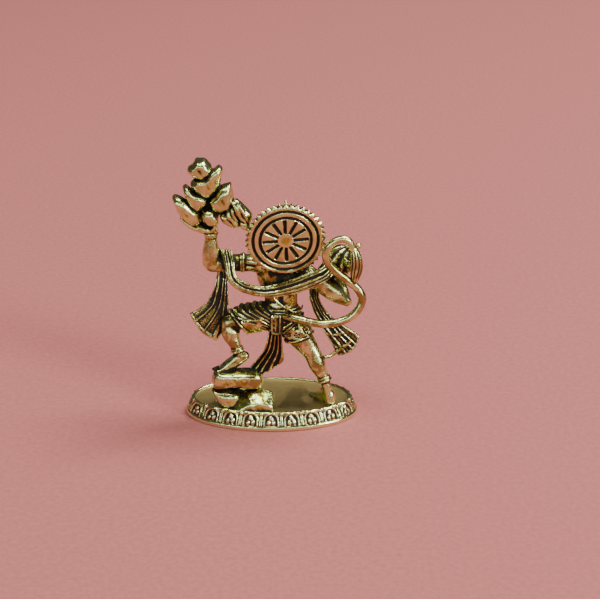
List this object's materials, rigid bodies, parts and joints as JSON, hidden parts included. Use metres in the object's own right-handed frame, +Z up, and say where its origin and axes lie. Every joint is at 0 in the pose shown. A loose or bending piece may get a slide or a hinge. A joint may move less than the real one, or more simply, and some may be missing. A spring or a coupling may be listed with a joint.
{
  "type": "hanuman figurine",
  "caption": "Small cast brass figurine of a striding monkey-faced guardian lifting a mountain of boulders, with a wheel halo, on an oval lotus plinth.",
  "frame": {"origin": "centre of the oval plinth's flat underside", "axes": "+Z up, +Y the way the figure faces and steps, +X towards its right hand and mace"},
  "size_m": [0.0307, 0.0152, 0.0438],
  "materials": {
    "hanuman_casting": "polished antique brass with dark recesses"
  },
  "bodies": {
    "root": {"hanuman_casting": "hanuman_casting"}
  },
  "joints": []
}
